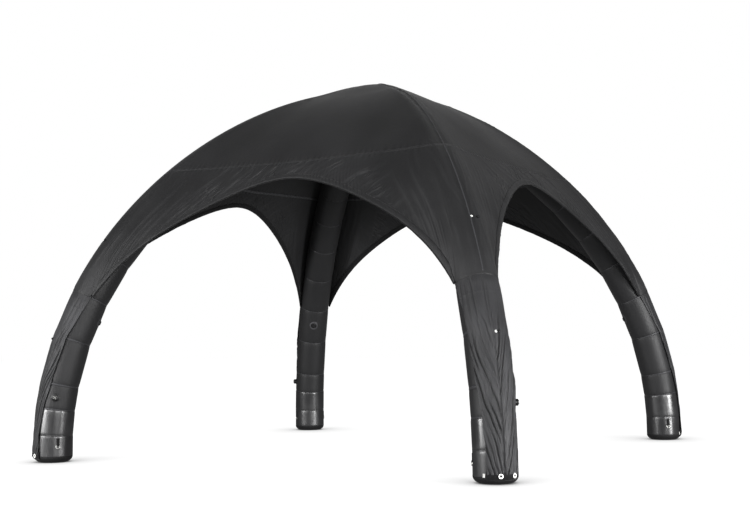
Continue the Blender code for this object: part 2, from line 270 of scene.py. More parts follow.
def sole_rubber_and_shade():
    """Moulded rubber: dull black under the boots, which also stands in for the contact shadow at the foot: partly
    painted shade.
    """
    return moulded_material("Rubber, moulded", from_hex("0b0b0c"), 0.72)


def white_tape():
    """Plain white polyester tape, woven: bright and matt."""
    return cloth_material("White polyester tape, woven", from_hex("a8a8a6"), from_hex("cacac8"), 0.002, 0.7, 0.1, 0.05)


def eyelet_painted_reflection():
    """Steel pressed into an eyelet and coloured white, bright, even and slightly glossy: the white is painted
    reflection of the bright studio that the plated eyelets mirror.
    """
    return moulded_material("Steel eyelet, white as painted reflection", from_hex("c4c4c2"), 0.40)


def nickel_steel():
    """Steel wire, nickel plated: bright, with a slightly uneven polish."""
    material, tree, shader = new_material("Steel, nickel plated")
    place = shader_node(tree, "TexCoord").outputs["Object"]
    polish = shader_node(tree, "TexNoise", {"Vector": place, "Scale": 90.0, "Detail": 4.0}).outputs["Fac"]
    tree.links.new(colour_mix(tree, polish, from_hex("b8b8b4"), from_hex("d9d9d6")), shader.inputs["Base Color"])
    uneven = shader_node(tree, "MapRange", {"Value": polish, 3: 0.34, 4: 0.50})
    tree.links.new(uneven.outputs["Result"], shader.inputs["Roughness"])
    set_shader(shader, Metallic=1.0)
    return material


def studio_floor():
    """Seamless white studio paper that glows evenly, as if lit from below: a pale floor whose glow is darkened round
    the feet by ambient occlusion, as painted contact shadows.
    """
    material, tree, shader = new_material("Studio paper, matt white")
    # painted contact shadows: ambient occlusion darkens the floor's glow round the feet
    painted_contact_shadow = shader_node(tree, "AmbientOcclusion", {"Distance": 1.6}, samples=16).outputs["Color"]
    tree.links.new(painted_contact_shadow, shader.inputs["Emission Color"])
    set_shader(shader, Base_Color=(0.2, 0.2, 0.2, 1), Roughness=0.9, Specular_IOR_Level=0.1)
    set_shader(shader, Emission_Strength=1.0)
    return material


MATERIALS = {}


def finish(maker):
    """The material that a maker function gives, made once."""
    if maker not in MATERIALS:
        MATERIALS[maker] = maker()
    return MATERIALS[maker]


# Numbers that surfaces share
def soft_noise(x, y, seed):
    """Smooth noise from -1 to 1 with about one hump for each unit."""
    lattice = np.random.default_rng(seed).uniform(-1, 1, (64, 64))
    x, y = np.broadcast_arrays(np.asarray(x, float), np.asarray(y, float))
    i, j = np.floor(x).astype(int), np.floor(y).astype(int)
    u, v = x - i, y - j
    u, v = u * u * (3 - 2 * u), v * v * (3 - 2 * v)
    at = lambda a, b: lattice[(i + a) % 64, (j + b) % 64]
    low = at(0, 0) * (1 - u) + at(1, 0) * u
    high = at(0, 1) * (1 - u) + at(1, 1) * u
    return low * (1 - v) + high * v


def creases(across, along, spacing, length, seed, width=0.2):
    """Single creases that run along, each with its own start and end, from 0 to about 1."""
    drift = 0.7 * soft_noise(along / (1.5 * length), across / (4 * spacing), seed)
    phase = across / spacing + drift
    cell = np.floor(phase)
    off = phase - cell - 0.5
    strength = np.clip(0.1 + 1.6 * soft_noise(cell * 5.37, along / length + cell * 3.71, seed + 1), 0, 1)
    crest = 0.55 * np.exp(-(off / width) ** 2) + 0.45 * np.exp(-np.abs(off) / (0.4 * width))
    edge = 0.55 * math.exp(-(0.5 / width) ** 2) + 0.45 * math.exp(-0.5 / (0.4 * width))
    return strength * (crest - edge)


def valleys(across, along, spacing, length, seed):
    """Puffs between sharp valleys that run along, from 0 in a valley to about 1, some deep and some shallow."""
    drift = 0.8 * soft_noise(along / (1.3 * length), across / (3 * spacing), seed)
    phase = across / spacing + drift
    off = np.abs(phase - np.rint(phase))
    valley = np.clip(0.45 + 0.9 * soft_noise(np.rint(phase) * 4.13, along / length, seed + 1), 0, 1)
    return 1 - valley * np.exp(-((off / 0.15) ** 1.4))


def rise(x, low, high):
    """0 below low, 1 above high and smooth between; the other way round where high is below low."""
    t = np.clip((x - low) / (high - low), 0, 1)
    return t * t * (3 - 2 * t)


def unit(vectors):
    return vectors / np.maximum(np.linalg.norm(vectors, axis=-1, keepdims=True), 1e-9)


def stack(x, y, z):
    return np.stack(np.broadcast_arrays(x, y, z), axis=-1)


def arch_tables():
    """The tube's centreline, straight from ring to ring with its kinks softened, and the even curve that the roof
    follows, each as lengths, reach, height and slope."""
    t = np.linspace(0, 1, 4001)
    u = 1 - t
    reach = u**3 * LEG_REACH + 3 * u * u * t * (LEG_REACH + LEAN_OUT) + 3 * u * t * t * CROWN_HANDLE
    height = 3 * u * u * t * FOOT_HANDLE + 3 * u * t * t * ARCH_HEIGHT + t**3 * ARCH_HEIGHT
    length = np.concatenate([[0], np.cumsum(np.hypot(np.diff(reach), np.diff(height)))])
    hub_seam = float(np.interp(HUB_ARM, reach[::-1], length[::-1]))
    total = float(length[-1])
    breaks = np.array([0.0, BOOT_SEAM, BOOT_TOP] + RINGS + [hub_seam, total])
    step = 0.002
    fine = np.arange(0, total + step, step)
    window = np.hanning(27)
    window /= window.sum()
    lines = []
    for marks in (breaks, length):
        path = []
        for values in (reach, height):
            straight = np.interp(fine, marks, np.interp(marks, length, values))
            padded = np.pad(straight, 13, mode="reflect", reflect_type="odd")
            path.append(np.convolve(padded, window, mode="valid"))
        slope = unit(np.stack([np.gradient(path[0]), np.gradient(path[1])], axis=-1))
        share = rise(fine, 0.0, BOOT_SEAM)[:, None]
        slope = unit(slope * share + np.array([0.0, 1.0]) * (1 - share))
        lines.append((fine, path[0], path[1], slope[:, 0], slope[:, 1]))
    return lines, breaks, total, hub_seam


(TUBE_LINE, ROOF_LINE), ARCH_BREAKS, ARCH_LENGTH, HUB_SEAM = arch_tables()


def arch_at(s, line=TUBE_LINE):
    return [np.interp(s, line[0], values) for values in line[1:]]


def tube_radius(s, barrel=0.0):
    """The tube's radius; barrel is how far each segment narrows at its ring seams."""
    s = np.asarray(s, float)
    radius = BASE_RADIUS + (CROWN_RADIUS - BASE_RADIUS) * s / ARCH_LENGTH
    drop = np.clip(BOOT_ROUND - s, 0, BOOT_ROUND)
    radius = radius + np.sqrt(BOOT_ROUND**2 - drop**2) - BOOT_ROUND
    k = np.clip(np.searchsorted(ARCH_BREAKS, s, side="right") - 1, 0, len(ARCH_BREAKS) - 2)
    share = (s - ARCH_BREAKS[k]) / (ARCH_BREAKS[k + 1] - ARCH_BREAKS[k])
    return radius - barrel * (2 * np.clip(share, 0, 1) - 1) ** 8


def on_tube(degrees, s, phi, lift=0.0, barrel=0.0, line=TUBE_LINE):
    """Points on a tube; phi is 0 on its outer line, and lift stands them off its skin."""
    angle = math.radians(degrees)
    outward = np.array([math.cos(angle), math.sin(angle), 0.0])
    sideways = np.array([-math.sin(angle), math.cos(angle), 0.0])
    up = np.array([0.0, 0.0, 1.0])
    s, phi, lift = np.broadcast_arrays(*[np.asarray(x, float) for x in (s, phi, lift)])
    r, z, tr, tz = [x[..., None] for x in arch_at(s, line)]
    normal = outward * tz - up * tr
    radius = (tube_radius(s, barrel) + lift)[..., None]
    turn = phi[..., None]
    return outward * r + up * z + radius * (np.cos(turn) * normal + np.sin(turn) * sideways)


def grid_normals(points):
    """Unit normals of a grid of points, from its rows and columns."""
    return unit(np.cross(np.gradient(points, axis=1), np.gradient(points, axis=0)))


# Mesh making
def link_piece(name, bm, maker, slot, replaces=()):
    """Makes an object of a bmesh, gives it its finish and lets it ride on the frame."""
    mesh = bpy.data.meshes.new(name)
    bm.to_mesh(mesh)
    bm.free()
    return dress_piece(name, mesh, maker, slot, replaces)


def dress_piece(name, mesh, maker, slot, replaces=()):
    mesh.materials.append(finish(maker))
    mesh.shade_smooth()
    piece = bpy.data.objects.new(name, mesh)
    bpy.context.scene.collection.objects.link(piece)
    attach(piece, "root")
    if replaces:
        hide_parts(*replaces)
    return piece


def close_mesh(mesh):
    """Welds a rolled grid, closes its ends and points its faces outwards."""
    bm = bmesh.new()
    bm.from_mesh(mesh)
    bmesh.ops.remove_doubles(bm, verts=bm.verts, dist=1e-6)
    bmesh.ops.holes_fill(bm, edges=[edge for edge in bm.edges if edge.is_boundary], sides=0)
    bmesh.ops.recalc_face_normals(bm, faces=bm.faces)
    if bm.calc_volume(signed=True) < 0:
        bmesh.ops.reverse_faces(bm, faces=bm.faces)
    bm.to_mesh(mesh)
    bm.free()


def shaped_grid(name, columns, rows, place, maker, slot, replaces=(), closed=False, wall=0.0):
    """A grid whose points go where place() puts them. place(U, V) gets both shares from 0 to 1 and gives the points,
    the UV in metres and the relief from 0 to 1, or the relief and how crumpled the cloth is there. The cloth colours
    read the relief as painted light: paler where it is high, darker where it is low."""
    bm = bmesh.new()
    bmesh.ops.create_grid(bm, x_segments=columns, y_segments=rows, size=0.5)
    bm.loops.layers.uv.new("UVMap")
    mesh = bpy.data.meshes.new(name)
    bm.to_mesh(mesh)
    bm.free()
    flat = np.empty(len(mesh.vertices) * 3)
    mesh.vertices.foreach_get("co", flat)
    flat = flat.reshape(-1, 3) + 0.5
    order = np.rint(flat[:, 1] * rows).astype(int) * (columns + 1) + np.rint(flat[:, 0] * columns).astype(int)
    across, along = np.meshgrid(np.linspace(0, 1, columns + 1), np.linspace(0, 1, rows + 1))
    points, uv, relief = place(across, along)
    mesh.vertices.foreach_set("co", points.reshape(-1, 3)[order].ravel())
    corners = np.empty(len(mesh.loops), int)
    mesh.loops.foreach_get("vertex_index", corners)
    mesh.uv_layers[0].data.foreach_set("uv", uv.reshape(-1, 2)[order][corners].ravel())
    for attribute, values in zip(("relief", "crumple"), relief if isinstance(relief, tuple) else (relief, 0.0)):
        mesh.attributes.new(attribute, "FLOAT", "POINT").data.foreach_set(
            "value", np.broadcast_to(values, across.shape).reshape(-1)[order]
        )
    if closed:
        close_mesh(mesh)
    mesh.update()
    piece = dress_piece(name, mesh, maker, slot, replaces)
    if wall:
        solid = piece.modifiers.new("Thickness", "SOLIDIFY")
        solid.thickness = wall
        solid.offset = -1.0
    return piece


def band_along(name, path, side, normal, profile, maker, slot, replaces=()):
    """A closed band: a flat profile of (sideways, out) points carried along a path."""
    profile = np.array(profile)
    count = len(profile)
    travelled = np.concatenate([[0], np.cumsum(np.linalg.norm(np.diff(path, axis=0), axis=1))])

    def place(U, V):
        k = np.rint(V * (len(path) - 1)).astype(int)
        p = np.rint(U * count).astype(int) % count
        points = path[k] + side[k] * profile[p][..., :1] + normal[k] * profile[p][..., 1:2]
        # every band gets a high relief, so the cloth colours paint it paler: painted highlight, as along the crest of
        # the ridge seams
        return points, np.stack([profile[p][..., 0], travelled[k]], axis=-1), 0.85

    return shaped_grid(name, count, len(path) - 1, place, maker, slot, replaces, closed=True)


def lens_profile(width, out, inward):
    """A flat strip with rounded edges, that stands out on one side and in on the other."""
    w = width / 2
    return [(-w, 0), (-0.8 * w, out), (0, 1.15 * out), (0.8 * w, out), (w, 0), (0.8 * w, -inward), (-0.8 * w, -inward)]


# Roof surface. It is made for the front side and turned for the others.
ROOF_LIFT = 0.008
ROOF_TOP = ARCH_LENGTH - 0.050
WRAP_LENGTHS = [1.472, 1.60, 1.80, 2.10, 2.60, 4.00, 4.85]
WRAP_EXTRA = [43, 34, 21, 12, 8, 8, 5]
PULL_LENGTHS = [1.472, 2.0, 2.6, 3.4, 4.85]
PULL = [0.20, 0.45, 0.85, 1.0, 0.6]
CROWN_LIFT = 0.058
CROWN_SPREAD = 0.60
PANEL_SEAM_HEIGHT = 2.545


def roof_base(a, s):
    """The taut roof. a is -1 and 1 on the two ridges and 0 in the middle; s is the length along the tubes."""
    m = np.abs(a)
    r, z, tr, tz = arch_at(s, ROOF_LINE)
    natural = np.arctan(tz)
    wrap = natural + np.radians(np.interp(s, WRAP_LENGTHS, WRAP_EXTRA))
    leave = on_tube(315, s, -wrap, ROOF_LIFT, line=ROOF_LINE)
    straight = on_tube(315, s, -natural, ROOF_LIFT, line=ROOF_LINE)
    middle = stack(0.0 * s, straight[..., 1], straight[..., 2])
    free = leave[..., 0]
    edge_share = free / (free + tube_radius(s) * wrap)
    normal = stack(tz / math.sqrt(2), -tz / math.sqrt(2), -tr)
    sideways = np.array([1, 1, 0]) / math.sqrt(2)
    away = np.sin(wrap)[..., None] * normal + np.cos(wrap)[..., None] * sideways
    t = np.clip(m / edge_share, 0, 1)[..., None]
    start = stack(free, 0.0 * s, 0.0 * s)
    end = away * (free * np.interp(s, PULL_LENGTHS, PULL))[..., None]
    span = (
        (2 * t**3 - 3 * t**2 + 1) * middle + (t**3 - 2 * t**2 + t) * start
        + (3 * t**2 - 2 * t**3) * leave + (t**3 - t**2) * end
    )
    turned = wrap * (1 - m) / (1 - edge_share)
    points = np.where((m < edge_share)[..., None], span, on_tube(315, s, -turned, ROOF_LIFT, line=ROOF_LINE))
    points[..., 0] *= np.where(a < 0, -1, 1)
    far = np.hypot(points[..., 0], points[..., 1])
    points[..., 2] += CROWN_LIFT * np.clip(1 - (far / CROWN_SPREAD) ** 2, 0, 1) ** 2
    return points, (1 - m) * (free + tube_radius(s) * wrap), m > edge_share


def lip_tables():
    """The roof's lower boundary from the middle of the opening, up the lip and round the tube to the ridge, as
    shares of its length, with the roof shares and lengths that it runs through."""
    u = np.linspace(0, LIP_START, 240)
    heights = OPENING_HEIGHT * (1 - (u / LIP_WIDTH) ** LIP_SPREAD) ** (1 / LIP_RISE)
    s = np.linspace(1.0, HUB_SEAM, 900)
    r, z, tr, tz = arch_at(s, ROOF_LINE)
    line = on_tube(315, s, -np.arctan(tz), ROOF_LIFT, line=ROOF_LINE)
    lengths = np.maximum(np.interp(heights, line[:, 2], s), ROOF_SEAM)
    r, z, tr, tz = arch_at(lengths, ROOF_LINE)
    wide = u * (r + tube_radius(lengths) * tz) / math.sqrt(2)
    shares = np.linspace(0, 1, 400)
    lip = []
    for length, x in zip(lengths, wide):
        row = roof_base(shares, np.full_like(shares, length))[0]
        lip.append(np.interp(x, np.maximum.accumulate(row[:, 0]), shares))
    corner = np.linspace(lip[-1], 1, 60)[1:]
    a = np.concatenate([lip, corner])
    s = np.concatenate([lengths, np.full(len(corner), ROOF_SEAM)])
    points = roof_base(a, s)[0]
    travelled = np.concatenate([[0], np.cumsum(np.linalg.norm(np.diff(points, axis=0), axis=1))])
    return travelled / travelled[-1], a, s, travelled[-1], travelled[len(lip) - 1] / travelled[-1]


LIP_V, LIP_A, LIP_S, LIP_LENGTH, LIP_END = lip_tables()


def roof_at(V, T):
    """Taut roof points at shares V along the lower boundary (-1 to 1) and T from it to the crown (0 to 1)."""
    v = np.abs(V)
    a0, s0 = np.interp(v, LIP_V, LIP_A), np.interp(v, LIP_V, LIP_S)
    a = (a0 + (v - a0) * T) * np.where(V < 0, -1, 1)
    s = s0 + (ROOF_TOP - s0) * T
    points, from_ridge, wrapped = roof_base(a, s)
    return points, from_ridge, wrapped, a, s


def lip_reach():
    """How far the roof goes from its lower boundary for each unit of T, measured square to that boundary."""
    v = np.linspace(0, 1, 400)
    low, high = roof_at(v, 0 * v)[0], roof_at(v, 0 * v + 0.01)[0]
    along = unit(np.gradient(low, axis=0))
    move = (high - low) / 0.01
    return v, np.linalg.norm(move - along * np.sum(move * along, axis=1, keepdims=True), axis=1)


REACH_V, REACH = lip_reach()


def seam_height(V):
    """The height that the panel seam runs at, which rises a little to the ridges."""
    return PANEL_SEAM_HEIGHT + 0.035 * np.abs(V)


def seam_shares(V):
    """The shares T up the roof at which the panel seam crosses the lines of V."""
    rows = np.linspace(0, 0.8, 200)
    heights = np.maximum.accumulate(roof_at(*np.meshgrid(V, rows))[0][..., 2], axis=0)
    return np.array([np.interp(height, column, rows) for height, column in zip(seam_height(V), heights.T)])


def roof_wrinkles(number, V, T, points, from_ridge, wrapped, a, s):
    """How far the cloth stands off the taut roof: gathers, creases and folds, in metres."""
    seed = 100 * (number + 1)
    lean = -1 if number in (1, 3) else 1
    x = points[..., 0]
    from_lip = T * np.interp(np.abs(V), REACH_V, REACH)
    lip_run = V * LIP_LENGTH
    on_lip = rise(np.abs(V), LIP_END + 0.03, LIP_END - 0.03)
    off_seam = points[..., 2] - seam_height(V)
    below = rise(off_seam, 0.01, -0.03)
    height = 0.004 * soft_noise(x / 0.62, s / 0.55, seed) * rise(from_ridge, 0.05, 0.5)
    height += 0.002 * soft_noise(x / 0.21, s / 0.34, seed + 1) * rise(from_ridge, 0.05, 0.3)
    # slanting creases between the hem and the panel seam
    slant = math.radians(50)
    across = lean * x * math.sin(slant) - s * math.cos(slant)
    along = lean * x * math.cos(slant) + s * math.sin(slant)
    band = below * on_lip * rise(from_ridge, 0.45, 0.75)
    height += 0.0080 * creases(across, along, 0.090, 0.18, seed + 4, 0.20) * band
    height += 0.0045 * creases(across + 0.3, along, 0.052, 0.13, seed + 14, 0.24) * band
    # long folds that hang from the shoulders down to the corners of the opening
    across = from_ridge + 0.10 * (s - 2.0)
    zone = rise(from_ridge, 0.06, 0.14) * rise(from_ridge, 0.95, 0.55) * rise(s, 1.5, 1.75) * rise(s, 3.1, 2.4)
    height += 0.0055 * creases(across, s, 0.085, 0.60, seed + 6, 0.34) * zone
    # fine steep creases beside the ridge at the shoulder
    across = from_ridge - 0.16 * (s - 2.2)
    zone = rise(from_ridge, 0.012, 0.03) * rise(from_ridge, 0.30, 0.12) * rise(s, 1.6, 1.8) * rise(s, 3.2, 2.6)
    height += 0.0055 * creases(across, s, 0.034, 0.22, seed + 16, 0.24) * zone
    # creases across the ridge under the crown
    across = s * math.cos(0.7) + from_ridge * math.sin(0.7)
    zone = rise(from_ridge, 0.008, 0.03) * rise(from_ridge, 0.25, 0.10) * rise(s, 3.1, 3.6) * rise(s, 4.75, 4.6)
    height += 0.005 * creases(across, from_ridge, 0.060, 0.12, seed + 8, 0.24) * zone
    # long creases down the leg, below the shoulder
    across = from_ridge + 0.10 * (s - 1.5) + 0.01 * np.sin(5 * s)
    zone = rise(s, 2.4, 1.9) * rise(from_ridge, 0.015, 0.04) * rise(T, 0.0, 0.03)
    height += 0.0060 * creases(across, s, 0.040, 0.35, seed + 18, 0.22) * zone
    # the elastic keeps the cloth even along the hem, with little gathers above it
    height *= 1 - 0.75 * rise(from_lip, 0.12, 0.02) * on_lip
    gather = np.sin(2 * np.pi * (lip_run / 0.047 + 1.8 * soft_noise(lip_run / 0.21, from_lip / 0.3, seed + 2)))
    depth = np.clip(0.35 + 0.75 * soft_noise(lip_run / 0.30, 0 * s, seed + 3), 0.05, 1)
    height += 0.0026 * gather * depth * np.exp(-from_lip / (0.030 + 0.07 * depth)) * rise(from_lip, 0.0, 0.03) * on_lip
    # the roof is drawn in beside the ridge seam
    height -= 0.0040 * np.exp(-((from_ridge - 0.022) / 0.012) ** 2) * (0.6 + 0.4 * soft_noise(s / 0.12, 0 * s, seed + 20))
    # puckers along the panel seam
    pucker = np.sin(2 * np.pi * (x / 0.055 + soft_noise(x / 0.2, 0 * s, seed + 10)))
    height += 0.0020 * pucker * np.exp(-(off_seam / 0.035) ** 2) * rise(from_ridge, 0.03, 0.1)
    # gathers where the roof is sewn to the leg cover
    pucker = np.sin(2 * np.pi * (from_ridge / 0.034 + 0.7 * soft_noise(from_ridge / 0.1, s / 0.1, seed + 12)))
    height += 0.0010 * pucker * np.exp(-(s - ROOF_SEAM) / 0.06) * (1 - on_lip)
    height = np.where(wrapped, np.maximum(height, -0.004 + 0.0035 * rise(s, ROOF_SEAM + 0.09, ROOF_SEAM + 0.02)), height)
    crumple = 0.03 + 0.97 * below * rise(from_ridge, 0.55, 0.85) * on_lip
    drop = 0.0048 * rise(T, 0.0, -0.004)
    return height * rise(from_ridge, 0.0, 0.012) - drop, crumple


def turned(points, degrees):
    """Points turned about the tent's axis."""
    angle = math.radians(degrees)
    turn = np.array([
        [math.cos(angle), math.sin(angle), 0], [-math.sin(angle), math.cos(angle), 0], [0, 0, 1]
    ])
    return points @ turn


def roof_surface(number, V, T):
    """Wrinkled roof points and outward normals on grids of V and T, with the relief that paints light and shade into
    the colour, and the crumpling.
    """
    parts = roof_at(V, T)
    points = parts[0]
    normals = grid_normals(points)
    height, crumple = roof_wrinkles(number, V, T, *parts)
    # painted light and shade: crease tops paler and hollows darker, the roof painted paler down towards its seam with
    # the paler leg cover, and painted shade along its lower edge
    relief = 0.5 + height / 0.016 + 0.5 * rise(parts[4], 1.85, ROOF_SEAM) - rise(T, 0.004, -0.001)
    return points + normals * height[..., None], normals, (relief, crumple), parts


def rows_near(number, V, T, step=0.004):
    """Roof points, outward normals and the direction up the roof along one line of V and T."""
    grid_v = np.stack([V, V, V])
    grid_t = np.stack([T - step, T, T + step])
    points = roof_surface(number, grid_v, grid_t)[0]
    normals = grid_normals(points)[1]
    along = unit(np.gradient(points[1], axis=0))
    up = unit(np.cross(normals, along))
    up *= np.sign(np.sum(up * (points[2] - points[0]), axis=1, keepdims=True))
    return points[1], normals, up


# Settings that a user would change
class DomeTentSizes(bpy.types.PropertyGroup):
    """Sizes of the cloth and its seams."""
    cloth: bpy.props.FloatProperty(
        name="Cloth", description="Thickness that the roof cloth is drawn with", default=0.0012, min=0.0004,
        max=0.004, unit="LENGTH", subtype="DISTANCE",
    )
    hem: bpy.props.FloatProperty(
        name="Hem", description="Width of the elastic hem round each opening", default=0.045, min=0.01, max=0.1,
        unit="LENGTH", subtype="DISTANCE",
    )
    seam: bpy.props.FloatProperty(
        name="Seam", description="Width of a sewn seam of the roof", default=0.020, min=0.006, max=0.05,
        unit="LENGTH", subtype="DISTANCE",
    )
    ring_tape: bpy.props.FloatProperty(
        name="Ring tape", description="Width of the welded tape over each ring seam of a tube", default=0.020,
        min=0.006, max=0.05, unit="LENGTH", subtype="DISTANCE",
    )


def sizes():
    return bpy.context.scene.dome_tent_sizes


# Operators
class TentOperator:
    bl_options = {"REGISTER", "UNDO"}

    def execute(self, context):
        self.build(context)
        return {"FINISHED"}


class DOMETENT_OT_stage(TentOperator, bpy.types.Operator):
    """Sets the camera, the floor and the studio light"""
    bl_idname = "dome_tent.stage"
    bl_label = "Stage"

    def build(self, context):
        scene = context.scene
        yaw, pitch, roll = (math.radians(x) for x in (-29.136, 3.831, -0.72))
        forward = Vector((math.sin(yaw) * math.cos(pitch), math.cos(yaw) * math.cos(pitch), math.sin(pitch)))
        level = Vector((math.cos(yaw), -math.sin(yaw), 0))
        upright = level.cross(forward)
        right = level * math.cos(roll) + upright * math.sin(roll)
        up = -level * math.sin(roll) + upright * math.cos(roll)
        lens = bpy.data.cameras.new("Camera")
        lens.lens = 59.2
        lens.sensor_width = 36.0
        camera = bpy.data.objects.new("Camera", lens)
        camera.matrix_world = Matrix.Translation((5.668, -10.217, 0.998)) @ Matrix(
            (right, up, -forward)).transposed().to_4x4()
        scene.collection.objects.link(camera)
        scene.camera = camera
        scene.view_settings.view_transform = "Standard"
        scene.view_settings.gamma = 0.8
        self.build_floor(scene)
        self.build_lights(scene)

    def build_floor(self, scene):
        bm = bmesh.new()
        bmesh.ops.create_grid(bm, x_segments=1, y_segments=1, size=60)
        mesh = bpy.data.meshes.new("floor")
        bm.to_mesh(mesh)
        bm.free()
        mesh.materials.append(finish(studio_floor))
        floor = bpy.data.objects.new("floor", mesh)
        floor.visible_diffuse = False
        floor.visible_glossy = False
        scene.collection.objects.link(floor)

    def build_lights(self, scene):
        lights = (
            ("Softbox far left", (-6.8, -11.2, 2.2), (-1.8, 0, 1.2), (6.0, 3.4), 1500),
            ("Softbox left", (0.2, -12.4, 3.6), (-0.6, 0, 1.0), (7.0, 3.6), 850),
            ("Softbox right", (14.8, -13.0, 3.4), (1.0, 0, 1.0), (7.0, 3.6), 2200),
            ("Softbox far right", (15.0, -2.5, 1.5), (1.0, 1.2, 1.2), (4.6, 3.2), 3000),
            ("White wall behind", (-6.0, 12.0, 4.0), (0, 0, 1.0), (12.0, 6.0), 200),
        )
        for name, place, aim, (wide, tall), power in lights:
            lamp = bpy.data.lights.new(name, "AREA")
            lamp.shape = "RECTANGLE"
            lamp.size, lamp.size_y = wide, tall
            lamp.energy = power
            light = bpy.data.objects.new(name, lamp)
            light.location = place
            light.rotation_euler = (Vector(aim) - Vector(place)).to_track_quat("-Z", "Y").to_euler()
            scene.collection.objects.link(light)
        world = bpy.data.worlds.new("Studio")
        world.use_nodes = True
        scene.world = world
        tree = world.node_tree
        background = tree.nodes["Background"]
        # the white floor throws light back up under the roof; the walls and ceiling give little
        direction = shader_node(tree, "SeparateXYZ", {"Vector": shader_node(tree, "TexCoord").outputs["Generated"]})
        level = shader_node(tree, "MapRange", {"Value": direction.outputs["Z"], 1: -0.35, 2: 0.05, 3: 0.42, 4: 0.05})
        seen = shader_node(tree, "LightPath").outputs["Is Camera Ray"]
        brighter = shader_node(tree, "Math", {0: level.outputs["Result"], 1: seen}, operation="MAXIMUM")
        tree.links.new(brighter.outputs["Value"], background.inputs["Strength"])
        background.inputs["Color"].default_value = (1, 1, 1, 1)


class DOMETENT_OT_tubes(TentOperator, bpy.types.Operator):
    """Builds the four air tubes with their ring seams"""
    bl_idname = "dome_tent.tubes"
    bl_label = "Air tubes"

    def build(self, context):
        for number, (leg, degrees) in enumerate(LEGS.items()):
            self.build_tube(leg, degrees, 40 + number)
            self.build_rings(leg, degrees)

    def build_tube(self, leg, degrees, seed):
        spans = [BOOT_TOP - 0.01] + RINGS + [HUB_SEAM]
        lengths = []
        for low, high in zip(spans, spans[1:]):
            share = np.linspace(0, 1, 19)[:-1]
            lengths.extend(low + (high - low) * (share - 0.11 * np.sin(2 * np.pi * share) / 1.0))
        lengths = np.array(lengths + [HUB_SEAM])

        def place(U, V):
            k = np.rint(V * (len(lengths) - 1)).astype(int)
            s = lengths[k]
            phi = 2 * np.pi * (U - np.floor(U + 1e-9))
            nearest = np.min(np.abs(s[..., None] - np.array([BOOT_TOP] + RINGS + [HUB_SEAM])), axis=-1)
            turns = 9 * np.cos(phi) + 3
            waves = np.sin(phi * 34 + 2.5 * soft_noise(9 * np.sin(phi), turns, seed))
            size = 0.5 + 0.5 * soft_noise(4 * np.cos(phi) + 30, 4 * np.sin(phi) + 3 * s, seed + 1)
            lift = 0.0016 * waves * size * np.exp(-nearest / 0.030)
            points = on_tube(degrees, s, phi, lift, 0.0055)
            # relief for the colour: pucker tops paler and hollows darker, painted shade by the ring seams
            return points, np.stack([U * 2 * np.pi * BASE_RADIUS, s], axis=-1), 0.5 + lift / 0.004

        shaped_grid(leg + "_air_tube", 144, len(lengths) - 1, place, tube_cloth, "tube_fabric", [leg + "_tube"], closed=True)

    def build_rings(self, leg, degrees):
        """The welded tapes over the ring seams, in one piece for each tube."""
        bm = bmesh.new()
        width = sizes().ring_tape
        for s in [BOOT_TOP] + RINGS:
            ring = bpy.data.meshes.new("ring")
            profile = np.array([(-0.5, 0.0), (-0.38, 0.9), (0, 1.15), (0.38, 0.9), (0.5, 0.0), (0, -0.4)])
            turns = 96
            part = bmesh.new()
            bmesh.ops.create_grid(part, x_segments=len(profile), y_segments=turns, size=0.5)
            part.verts.ensure_lookup_table()
            for vert in part.verts:
                p = round((vert.co.x + 0.5) * len(profile)) % len(profile)
                k = round((vert.co.y + 0.5) * turns) % turns
                lift = 0.0032 * profile[p][1] - 0.0045
                vert.co = on_tube(degrees, s + width * profile[p][0], 2 * math.pi * k / turns, lift)
            bmesh.ops.remove_doubles(part, verts=part.verts, dist=1e-6)
            bmesh.ops.recalc_face_normals(part, faces=part.faces)
            part.to_mesh(ring)
            part.free()
            bm.from_mesh(ring)
            bpy.data.meshes.remove(ring)
        link_piece(leg + "_ring_tapes", bm, seam_tape, "tube_fabric")


class DOMETENT_OT_hub(TentOperator, bpy.types.Operator):
    """Builds the crown hub that the tubes meet in"""
    bl_idname = "dome_tent.hub"
    bl_label = "Crown hub"

    def build(self, context):
        bm = bmesh.new()
        bmesh.ops.create_uvsphere(bm, u_segments=64, v_segments=32, radius=1.0)
        bmesh.ops.scale(bm, vec=(HUB_RADIUS, HUB_RADIUS, HUB_RISE), verts=bm.verts)
        bmesh.ops.translate(bm, vec=(0, 0, ARCH_HEIGHT), verts=bm.verts)
        for degrees in LEGS.values():
            made = bmesh.ops.create_cone(
                bm, cap_ends=True, cap_tris=False, segments=64, radius1=CROWN_RADIUS, radius2=CROWN_RADIUS, depth=0.30
            )
            for vert in made["verts"]:
                s = HUB_SEAM + 0.15 + vert.co.z
                vert.co = on_tube(degrees, s, math.atan2(vert.co.y, vert.co.x), -0.002)
        hub = link_piece("crown_pillow", bm, tube_cloth, "tube_fabric", ["crown_hub"])
        remesh = hub.modifiers.new("Blend", "REMESH")
        remesh.mode = "VOXEL"
        remesh.voxel_size = 0.009
        remesh.use_smooth_shade = True
        smooth = hub.modifiers.new("Soften", "SMOOTH")
        smooth.factor = 0.6
        smooth.iterations = 12


